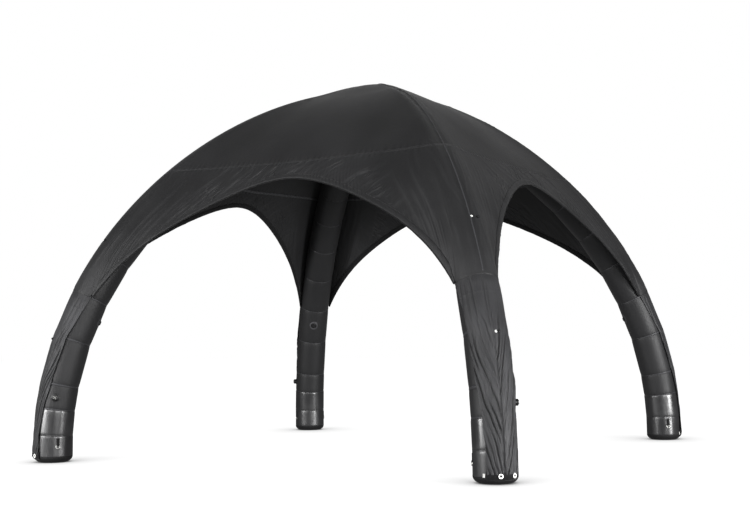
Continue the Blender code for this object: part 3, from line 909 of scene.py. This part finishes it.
class DOMETENT_OT_boots(TentOperator, bpy.types.Operator):
    """Builds the vinyl boots with their weld seams and soles"""
    bl_idname = "dome_tent.boots"
    bl_label = "Boots"

    def build(self, context):
        for number, (leg, degrees) in enumerate(LEGS.items()):
            self.build_band(leg, degrees, leg + "_vinyl_foot", 0.012, BOOT_SEAM, 60 + number, [leg + "_boot_foot"])
            self.build_band(leg, degrees, leg + "_vinyl_cuff", BOOT_SEAM, BOOT_TOP, 70 + number, [leg + "_boot_cuff"])
            self.build_weld(leg, degrees, "_boot_weld", BOOT_SEAM, 0.012)
            self.build_sole(leg, degrees)

    def build_band(self, leg, degrees, name, low, high, seed, nodes):
        rows = 36

        def place(U, V):
            s = low + (high - low) * (V if low > BOOT_ROUND else V**1.3)
            phi = 2 * np.pi * (U - np.floor(U + 1e-9))
            x, y = np.cos(phi), np.sin(phi)
            ripple = soft_noise(4.2 * x + 11, 4.2 * y + 1.2 * s, seed) * 0.0011
            ripple += soft_noise(9 * x + 3 * s, 9 * y - 4 * s, seed + 1) * 0.0005
            to_edge = np.minimum(s - low, high - s)
            pull = creases(phi * 0.16 + 0.5 * s, s, 0.045, 0.08, seed + 2, 0.3)
            ripple += 0.0016 * pull * np.exp(-np.clip(high - s, 0, 1) / 0.05)
            shoulder = -0.0025 * np.exp(-to_edge / 0.008) if low > BOOT_ROUND else -0.0025 * np.exp(-(high - s) / 0.008)
            points = on_tube(degrees, s, phi, ripple + shoulder + 0.001)
            return points, np.stack([phi * BASE_RADIUS, s], axis=-1), 0.5

        shaped_grid(name, 144, rows, place, boot_vinyl, "boot_vinyl", nodes, closed=True)

    def build_weld(self, leg, degrees, name, s, width):
        turns = np.linspace(0, 2 * np.pi, 121)
        path = on_tube(degrees, np.full(121, s), turns, -0.001)
        normal = unit(on_tube(degrees, np.full(121, s), turns, 0.1) - path)
        side = unit(on_tube(degrees, np.full(121, s + 0.02), turns) - on_tube(degrees, np.full(121, s - 0.02), turns))
        band_along(leg + name, path, side, normal, lens_profile(width, 0.0022, 0.001), boot_vinyl, "boot_vinyl")

    def build_sole(self, leg, degrees):
        """The rubber sole, which laps a little way up the rounding of the boot; its black band is partly painted shade,
        for the contact shadow at the foot.
        """
        lengths = np.concatenate([[0.0], 0.052 * np.linspace(0, 1, 9) ** 1.5, [0.050]])
        lifts = np.array([-0.03, 0.0, 0.0012, 0.0024, 0.0030, 0.0032, 0.0032, 0.0032, 0.0030, 0.0020, -0.002])

        def place(U, V):
            k = np.rint(V * (len(lengths) - 1)).astype(int)
            phi = 2 * np.pi * (U - np.floor(U + 1e-9))
            points = on_tube(degrees, lengths[k], phi, lifts[k])
            points[..., 2] = np.maximum(points[..., 2], 0.0)
            return points, np.stack([phi * BASE_RADIUS, lengths[k]], axis=-1), 0.5

        shaped_grid(leg + "_sole", 96, len(lengths) - 1, place, sole_rubber_and_shade, "boot_vinyl", closed=True)


class DOMETENT_OT_roof(TentOperator, bpy.types.Operator):
    """Builds the four roof panels"""
    bl_idname = "dome_tent.roof"
    bl_label = "Roof panels"

    def build(self, context):
        for number, (side, degrees) in enumerate(SIDES.items()):
            def place(U, V):
                across = 2 * U - 1
                start = -0.004 + 0.016 * rise(np.abs(across), LIP_END + 0.012, LIP_END - 0.004)
                T = start + (1 - start) * (0.52 * V + 0.48 * V**2)
                points, normals, relief, parts = roof_surface(number, across, T)
                uv = np.stack([points[..., 0], parts[4]], axis=-1)
                return turned(points, degrees), uv, relief

            panel = shaped_grid(
                side + "_roof_cloth", 480, 94, place, roof_cloth, "roof_fabric", ["roof_panel_" + side],
                wall=sizes().cloth,
            )


class DOMETENT_OT_hems(TentOperator, bpy.types.Operator):
    """Builds the elastic hem round each opening"""
    bl_idname = "dome_tent.hems"
    bl_label = "Opening hems"

    def build(self, context):
        outside = [
            (1.0, 0.0012), (0.92, 0.0034), (0.55, 0.0048), (0.12, 0.0046), (0.0, 0.0030), (-0.02, 0.0005),
            (0.10, -0.0012), (0.55, -0.0014), (0.92, -0.0012),
        ]
        inside = [
            (0.90, -0.0022), (0.55, -0.0020), (0.10, -0.0020), (-0.04, -0.0008), (-0.16, 0.0006), (-0.24, -0.0016),
            (-0.20, -0.0052), (0.05, -0.0070), (0.55, -0.0074), (0.90, -0.0050),
        ]
        for number, (side, degrees) in enumerate(SIDES.items()):
            V = np.linspace(-LIP_END, LIP_END, 801)
            reach = sizes().hem / np.interp(np.abs(V), REACH_V, REACH)
            rows = [rows_near(number, V, 0.0045 + share * reach)[:2] for share in (0.0, 0.5, 1.0)]
            line = (V * LIP_LENGTH, [[turned(x, degrees) for x in row] for row in rows])
            self.build_band(side + "_opening_hem", line, outside, 500 + number, roof_cloth, "roof_fabric")
            # the binding's near-black is partly painted shade along the inside of the opening
            self.build_band(
                side + "_hem_binding", line, inside, 520 + number, webbing, "hem_webbing", ["arch_hem_" + side]
            )

    def build_band(self, name, line, profile, seed, maker, slot, replaces=()):
        """A gathered band along the hem's line, from a closed profile of (share of the width, height) points."""
        run, rows = line
        wide = sizes().hem
        profile = np.array(profile)
        count = len(profile)
        depth = np.clip(0.35 + 0.65 * soft_noise(run / 0.35, 0 * run, seed), 0.05, 1)

        def place(U, W):
            k = np.rint(W * (len(run) - 1)).astype(int)
            p = np.rint(U * count).astype(int) % count
            share, height = profile[p][..., 0], profile[p][..., 1]
            slanted = run[k] + 0.35 * wide * share
            wave = np.sin(2 * np.pi * (slanted / 0.031 + 1.6 * soft_noise(slanted / 0.16, 0 * share, seed + 1)))
            swell = np.clip(4 * share * (1 - share), 0, 1)
            lift = height + 0.0010 * np.sign(height) * swell * wave * depth[k]
            weights = ((1 - share) * (1 - 2 * share), 4 * share * (1 - share), share * (2 * share - 1))
            at, normal = (sum(w[..., None] * row[part][k] for w, row in zip(weights, rows)) for part in (0, 1))
            points = at + unit(normal) * lift[..., None]
            # relief for the colour: gather tops paler and hollows darker, painted shade
            return points, np.stack([share * wide, run[k]], axis=-1), 0.62 + 0.16 * wave * depth[k] * swell

        shaped_grid(name, count, len(run) - 1, place, maker, slot, replaces, closed=True)


class DOMETENT_OT_seams(TentOperator, bpy.types.Operator):
    """Builds the sewn seams of the roof: along the ridges and across the panels"""
    bl_idname = "dome_tent.seams"
    bl_label = "Roof seams"

    def build(self, context):
        for number, (side, degrees) in enumerate(SIDES.items()):
            V = np.linspace(-0.999, 0.999, 361)
            path, normal, up = rows_near(number, V, seam_shares(V))
            lines = [turned(x, degrees) for x in (path, up, normal)]
            band_along(side + "_panel_seam", *lines, lens_profile(sizes().seam, 0.0011, 0.0012), roof_cloth, "roof_fabric")
            lines[0] = lines[0] - 0.0030 * lines[2]
            band_along(side + "_seam_tape", *lines, lens_profile(0.030, 0.0008, 0.0016), seam_tape, "roof_fabric")
        for leg, degrees in LEGS.items():
            s = np.linspace(ROOF_SEAM - 0.01, ROOF_TOP, 260)
            path = turned(roof_base(np.ones_like(s), s)[0], degrees - 315)
            centre = on_tube(degrees, s, 0 * s, -tube_radius(s))
            along = unit(np.gradient(path, axis=0))
            angle = math.radians(degrees)
            across = np.broadcast_to(np.array([-math.sin(angle), math.cos(angle), 0.0]), path.shape)
            normal = unit(np.cross(along, across))
            normal *= np.sign(np.sum(normal * (path - centre), axis=1, keepdims=True))
            path = path - 0.007 * rise(s, ROOF_SEAM + 0.04, ROOF_SEAM)[:, None] * normal
            # the ridge seam's pale tape is partly painted highlight along the ridge's crest
            band_along(leg + "_ridge_seam", path, across, normal, lens_profile(0.010, 0.0026, 0.0060), seam_tape, "roof_fabric")
        self.build_crown_patch()

    def build_crown_patch(self):
        """A round patch sewn flush over the point where the ridges meet."""
        s = np.linspace(ROOF_TOP - 0.08, ARCH_LENGTH, 60)
        ridge = roof_base(np.ones_like(s), s)[0]

        def place(U, V):
            angle = 2 * np.pi * (U - np.floor(U + 1e-9))
            radius = 0.085 * (1 - V)
            top = np.interp(radius, np.hypot(ridge[::-1, 0], ridge[::-1, 1]), ridge[::-1, 2])
            z = top + 0.0012 * rise(V, 0.0, 0.1) + 0.0006 * soft_noise(3 * np.cos(angle) * V, 3 * np.sin(angle) * V, 7)
            points = stack(radius * np.cos(angle), radius * np.sin(angle), z)
            return points, points[..., :2], 0.5

        patch = shaped_grid("crown_patch", 64, 16, place, roof_cloth, "roof_fabric")
        close_patch(patch, Vector((0, 0, 1)))


class DOMETENT_OT_covers(TentOperator, bpy.types.Operator):
    """Builds the cloth covers down the outer faces of the legs"""
    bl_idname = "dome_tent.covers"
    bl_label = "Leg covers"

    def build(self, context):
        for number, (leg, degrees) in enumerate(LEGS.items()):
            self.build_cover(leg, degrees, 200 + 10 * number)
            self.build_foot_band(leg, degrees, 300 + 10 * number)

    def build_cover(self, leg, degrees, seed):
        low = 0.070

        def place(U, V):
            s = low + (ROOF_SEAM + 0.012 - low) * V
            half = np.radians(np.interp(s, COVER_LENGTHS, COVER_HALF_ANGLES)) * (1 - 0.06 * rise(s, 0.65, 0.45))
            edge = 2 * U - 1
            phi = half * edge * (1 + 0.018 * soft_noise(s / 0.16, 3 * np.sign(edge), seed))
            run = phi * BASE_RADIUS
            # creases that run down from both edges to the middle, where the cover is drawn in at the foot
            slant = math.radians(14)
            side = np.sqrt(run**2 + 0.006**2)
            across = side * math.cos(slant) - s * math.sin(slant) + np.sign(edge) * 5
            drawn = rise(s, 1.25, 0.95) * rise(side, 0.0, 0.012)
            wobble = 0.0018 * soft_noise(s / 0.09, run / 0.03, seed + 11)
            folds = valleys(across + wobble, s, 0.030, 0.22, seed + 1) * (
                0.62 + 0.38 * valleys(across + wobble, s, 0.0135, 0.09, seed + 21))
            lift = 0.0100 * folds * drawn
            lift = lift + 0.0040 * creases(across + 0.4, s, 0.046, 0.16, seed + 3, 0.22) * rise(s, 1.1, 0.6)
            # long folds above them
            lift = lift + 0.0060 * valleys(run + 3, s, 0.048, 0.60, seed + 8) * (1 - drawn) * rise(s, 0.6, 1.0)
            # the crease down its middle
            lift = lift - 0.0050 * np.exp(-np.abs(run) / 0.006) * rise(s, 1.46, 1.36)
            gather = np.sin(2 * np.pi * (run / 0.030 + 0.8 * soft_noise(run / 0.05, s / 0.1, seed + 5)))
            lift = lift + 0.0030 * gather * np.exp(-np.abs(s - low) / 0.035)
            lift = lift + 0.005 * np.exp(-((s - 0.120) / 0.06) ** 2) * (1 - 0.4 * edge**2)
            lift = lift + 0.003 * soft_noise(run / 0.09, s / 0.22, seed + 7)
            lift = lift + 0.004 * rise(np.abs(edge), 0.93, 1.0) * soft_noise(s / 0.12, 0 * s, seed + 9)
            lift = np.maximum(lift + 0.0030, 0.0030)
            lift = lift + (0.0060 - lift) * rise(s, ROOF_SEAM - 0.06, ROOF_SEAM)
            lift = lift + 0.0010 * np.exp(-((s - 1.345) / 0.005) ** 2)
            # painted shade and light for the colour: dark in the valleys between the puffs, and paler on the raised
            # long folds above them
            shade = np.clip(0.9 * folds**1.5 - 0.02, 0, 1)
            shade = shade + (0.80 + 0.6 * (lift - 0.008) / 0.014 - shade) * (1 - drawn) * rise(s, 0.6, 1.0)
            points = on_tube(degrees, s, phi, lift)
            return points, np.stack([run, s], axis=-1), (shade, 0.4 + 0.6 * drawn)

        cover = shaped_grid(
            leg + "_cover_cloth", 112, 270, place, cover_cloth, "roof_fabric", [leg + "_cover"], wall=sizes().cloth
        )

    def build_foot_band(self, leg, degrees, seed):
        """The black elastic band that gathers the foot of the cover."""
        def place(U, V):
            s = 0.028 + 0.070 * V
            half = math.radians(43.5)
            edge = 2 * U - 1
            phi = half * edge
            run = phi * BASE_RADIUS
            gather = np.sin(2 * np.pi * (run / 0.026 + 0.6 * soft_noise(run / 0.05, s / 0.1, seed)))
            puff = 0.010 * np.sin(np.pi * V) * (1 - 0.4 * edge**2)
            lift = 0.007 + puff + 0.0016 * gather * rise(V, 0.2, 0.9)
            # relief for the colour: gather tops paler and hollows darker, painted shade
            return on_tube(degrees, s, phi, lift), np.stack([run, s], axis=-1), 0.5 + 0.4 * gather

        band = shaped_grid(leg + "_cover_band", 96, 16, place, webbing, "hem_webbing", wall=0.002)
        for name, degree in (("a", -9), ("b", 27)):
            s = 0.062
            centre = on_tube(degrees, s, math.radians(degree), 0.0185)
            out = unit(on_tube(degrees, s, math.radians(degree), 0.1) - on_tube(degrees, s, math.radians(degree), 0.0))
            self.build_eyelet(f"{leg}_cover_eyelet_{name}", centre, out)

    def build_eyelet(self, name, centre, out):
        bm = turned_ring(0.0135, 0.0042)
        aim = Vector(out).to_track_quat("Z", "Y").to_matrix().to_4x4()
        bm.transform(Matrix.Translation(Vector(centre)) @ aim)
        link_piece(name, bm, eyelet_painted_reflection, "steel")


def spot_on_tube(degrees, s, phi, lift=0.0):
    """The centre and axes of a spot on a tube: across it, along it and outwards."""
    centre = on_tube(degrees, s, phi, lift)
    out = unit(on_tube(degrees, s, phi, 0.1) - on_tube(degrees, s, phi, 0.0))
    along = unit(on_tube(degrees, s + 0.01, phi) - on_tube(degrees, s - 0.01, phi))
    across = unit(np.cross(along, out))
    along = np.cross(out, across)
    spot = Matrix((across, along, out)).transposed().to_4x4()
    spot.translation = Vector(centre)
    return spot


def turned_ring(major, minor):
    """A flattened ring about Z, as pressed for an eyelet."""
    bm = bmesh.new()
    section = bmesh.ops.create_circle(bm, segments=10, radius=minor)
    bmesh.ops.rotate(bm, matrix=Matrix.Rotation(math.pi / 2, 3, "X"), verts=section["verts"])
    bmesh.ops.scale(bm, vec=(1.25, 1, 0.7), verts=section["verts"])
    bmesh.ops.translate(bm, vec=(major, 0, 0), verts=section["verts"])
    bmesh.ops.spin(bm, geom=bm.edges[:], cent=(0, 0, 0), axis=(0, 0, 1), angle=2 * math.pi, steps=32, use_merge=True)
    bmesh.ops.recalc_face_normals(bm, faces=bm.faces)
    return bm


def turned_body(profile, steps=40):
    """A body turned about Z from (radius, height) points, the first and last on the axis."""
    bm = bmesh.new()
    verts = [bm.verts.new((radius, 0, height)) for radius, height in profile]
    for first, second in zip(verts, verts[1:]):
        bm.edges.new((first, second))
    bmesh.ops.spin(bm, geom=bm.verts[:] + bm.edges[:], cent=(0, 0, 0), axis=(0, 0, 1), angle=2 * math.pi, steps=steps, use_merge=True)
    bmesh.ops.remove_doubles(bm, verts=bm.verts, dist=1e-6)
    bmesh.ops.recalc_face_normals(bm, faces=bm.faces)
    return bm


def soften_edges(piece, width, segments=2):
    bevel = piece.modifiers.new("Edges", "BEVEL")
    bevel.width = width
    bevel.segments = segments
    bevel.limit_method = "ANGLE"
    bevel.angle_limit = math.radians(35)
    bevel.harden_normals = False


def close_patch(patch, out, wall=0.0012):
    """Welds a disc's seam and middle, faces it outwards and gives it its thickness."""
    bm = bmesh.new()
    bm.from_mesh(patch.data)
    bmesh.ops.remove_doubles(bm, verts=bm.verts, dist=1e-6)
    bmesh.ops.recalc_face_normals(bm, faces=bm.faces)
    if sum(face.normal.dot(out) for face in bm.faces) < 0:
        bmesh.ops.reverse_faces(bm, faces=bm.faces)
    bm.to_mesh(patch.data)
    bm.free()
    solid = patch.modifiers.new("Thickness", "SOLIDIFY")
    solid.thickness = wall
    solid.offset = -1.0


class DOMETENT_OT_valves(TentOperator, bpy.types.Operator):
    """Builds the inflation and relief valves"""
    bl_idname = "dome_tent.valves"
    bl_label = "Valves"

    def build(self, context):
        for leg, degrees in LEGS.items():
            self.build_inflation(leg, spot_on_tube(degrees, 0.560, math.radians(80), -0.002))
            self.build_relief(leg, spot_on_tube(degrees, 1.300, math.radians(168.75), -0.002))

    def build_inflation(self, leg, spot):
        body = turned_body([
            (0.0, 0.0), (0.036, 0.0), (0.0365, 0.002), (0.030, 0.0038), (0.0265, 0.004), (0.0262, 0.012),
            (0.0235, 0.0128), (0.0232, 0.0155), (0.0245, 0.0165), (0.0245, 0.026), (0.0232, 0.0285), (0.019, 0.0295),
            (0.0, 0.0300),
        ])
        body.transform(spot)
        valve = link_piece(leg + "_inflation_cap", body, black_nylon, "moulded_black", [leg + "_inflation_valve"])
        soften_edges(valve, 0.0005)
        bm = bmesh.new()
        for turn in (45, 135):
            made = bmesh.ops.create_cube(bm, size=1.0)
            bmesh.ops.scale(bm, vec=(0.036, 0.0075, 0.006), verts=made["verts"])
            bmesh.ops.rotate(bm, matrix=Matrix.Rotation(math.radians(turn), 3, "Z"), verts=made["verts"])
            bmesh.ops.translate(bm, vec=(0, 0, 0.0318), verts=made["verts"])
        bm.transform(spot)
        grip = link_piece(leg + "_inflation_grip", bm, grey_grip_and_highlight, "moulded_black")
        soften_edges(grip, 0.0018, 3)

    def build_relief(self, leg, spot):
        """The relief valve's low cap, on a round patch welded to the tube."""
        def place(U, V):
            angle = 2 * np.pi * (U - np.floor(U + 1e-9))
            radius = 0.052 * (1 - V)
            x, y = radius * np.cos(angle), radius * np.sin(angle)
            curve = np.sqrt(BASE_RADIUS**2 - x**2) - BASE_RADIUS
            z = 0.0030 + curve - 0.0030 * rise(V, 0.08, 0.0)
            points = stack(x, y, z)
            flat = points.reshape(-1, 3)
            matrix = np.array(spot)
            placed = (flat @ matrix[:3, :3].T + matrix[:3, 3]).reshape(points.shape)
            return placed, points[..., :2], 0.9

        patch = shaped_grid(leg + "_relief_patch", 48, 8, place, seam_tape, "tube_fabric", wall=0.0)
        close_patch(patch, spot.to_3x3() @ Vector((0, 0, 1)))
        body = turned_body([
            (0.0, 0.0), (0.032, 0.0), (0.0325, 0.0018), (0.027, 0.0034), (0.019, 0.004), (0.0185, 0.010),
            (0.0170, 0.0118), (0.0120, 0.0124), (0.0112, 0.0108), (0.0, 0.0104),
        ])
        body.transform(spot)
        valve = link_piece(leg + "_relief_cap", body, black_nylon, "moulded_black", [leg + "_relief_valve"])
        soften_edges(valve, 0.0005)


class DOMETENT_OT_rings(TentOperator, bpy.types.Operator):
    """Builds the steel rings and webbing tabs of the boots and legs"""
    bl_idname = "dome_tent.rings"
    bl_label = "Rings and tabs"

    def build(self, context):
        for leg, degrees in LEGS.items():
            for name, phi in (("a", 101.25), ("b", -101.25)):
                self.build_ground_ring(leg, degrees, name, math.radians(phi))
            for name, s, first, second in (("low", 1.045, 6, 14), ("high", 1.96, 4, 22)):
                self.build_guy_point(leg, degrees, name, s, first, second)
            self.build_tab(leg, degrees)

    def build_ring(self, name, spot, major, minor, replaces=()):
        """A D-shaped ring of wire, with its straight side up."""
        bm = bmesh.new()
        section = bmesh.ops.create_circle(bm, segments=12, radius=minor)
        bmesh.ops.rotate(bm, matrix=Matrix.Rotation(math.pi / 2, 3, "X"), verts=section["verts"])
        bmesh.ops.translate(bm, vec=(major, 0, 0), verts=section["verts"])
        bmesh.ops.spin(bm, geom=bm.edges[:], cent=(0, 0, 0), axis=(0, 0, 1), angle=2 * math.pi, steps=40, use_merge=True)
        for vert in bm.verts:
            if vert.co.y > 0.45 * major:
                vert.co.y = 0.45 * major + (vert.co.y - 0.45 * major) * 0.35
        bmesh.ops.recalc_face_normals(bm, faces=bm.faces)
        bm.transform(spot)
        link_piece(name, bm, nickel_steel, "steel", replaces)

    def build_ground_ring(self, leg, degrees, name, phi):
        ring = spot_on_tube(degrees, 0.140, phi, 0.0055)
        self.build_ring(f"{leg}_ring_{name}", ring, 0.0165, 0.0028, [f"{leg}_ground_ring_{name}"])
        s = np.linspace(0.146, 0.212, 15)
        wave = 0.0025 + 0.0052 * np.exp(-((s - 0.150) / 0.010) ** 2)
        path = on_tube(degrees, s, np.full_like(s, phi), wave)
        normal = unit(on_tube(degrees, s, np.full_like(s, phi), 0.1) - on_tube(degrees, s, np.full_like(s, phi), 0.0))
        side = unit(np.cross(unit(np.gradient(path, axis=0)), normal))
        band_along(f"{leg}_ring_tab_{name}", path, side, normal, lens_profile(0.024, 0.0014, 0.003), webbing, "hem_webbing")

    def build_guy_point(self, leg, degrees, name, s, first, second):
        """A guy line's small eyelet and the button beside it, on the outer face of the leg."""
        lift = 0.0125 if s < ROOF_SEAM else 0.0145
        eyelet = turned_ring(0.0075, 0.0022)
        eyelet.transform(spot_on_tube(degrees, s, math.radians(first), lift))
        link_piece(f"{leg}_guy_eyelet_{name}", eyelet, eyelet_painted_reflection, "steel")
        for part, phi, radius, high in (("hole", first, 0.0064, 0.0004), ("button", second, 0.0085, 0.0120)):
            body = turned_body([(0.0, -0.006), (radius, -0.006), (radius, high - 0.002), (0.8 * radius, high), (0.0, high)], 24)
            body.transform(spot_on_tube(degrees, s, math.radians(phi), lift))
            link_piece(f"{leg}_guy_{part}_{name}", body, black_nylon, "moulded_black")

    def build_tab(self, leg, degrees):
        """A plain white pull tab beside the cover's foot."""
        s = np.linspace(0.050, 0.078, 9)
        phi = np.full_like(s, math.radians(-50))
        path = on_tube(degrees, s, phi, 0.005 + 0.004 * rise(s, 0.07, 0.046))
        normal = unit(on_tube(degrees, s, phi, 0.1) - on_tube(degrees, s, phi, 0.0))
        side = unit(np.cross(unit(np.gradient(path, axis=0)), normal))
        band_along(leg + "_pull_tab", path, side, normal, lens_profile(0.020, 0.001, 0.003), white_tape, "hem_webbing")


class DOMETENT_PT_panel(bpy.types.Panel):
    """Lists the tent's sizes and the steps that build it"""
    bl_idname = "DOMETENT_PT_panel"
    bl_label = "Dome tent"
    bl_space_type = "VIEW_3D"
    bl_region_type = "UI"
    bl_category = "Dome tent"

    def draw(self, context):
        for name in DomeTentSizes.__annotations__:
            self.layout.prop(context.scene.dome_tent_sizes, name)
        for step in STEPS:
            self.layout.operator(step.bl_idname)


STEPS = (
    DOMETENT_OT_stage, DOMETENT_OT_tubes, DOMETENT_OT_hub, DOMETENT_OT_boots, DOMETENT_OT_roof, DOMETENT_OT_seams,
    DOMETENT_OT_hems, DOMETENT_OT_covers, DOMETENT_OT_valves, DOMETENT_OT_rings,
)
CLASSES = (DomeTentSizes,) + STEPS + (DOMETENT_PT_panel,)


def register():
    for item in CLASSES:
        bpy.utils.register_class(item)
    bpy.types.Scene.dome_tent_sizes = bpy.props.PointerProperty(type=DomeTentSizes)


def unregister():
    del bpy.types.Scene.dome_tent_sizes
    for item in reversed(CLASSES):
        bpy.utils.unregister_class(item)


def main():
    register()
    for step in STEPS:
        getattr(bpy.ops.dome_tent, step.bl_idname.split(".")[1])()


if __name__ == "__main__":
    main()
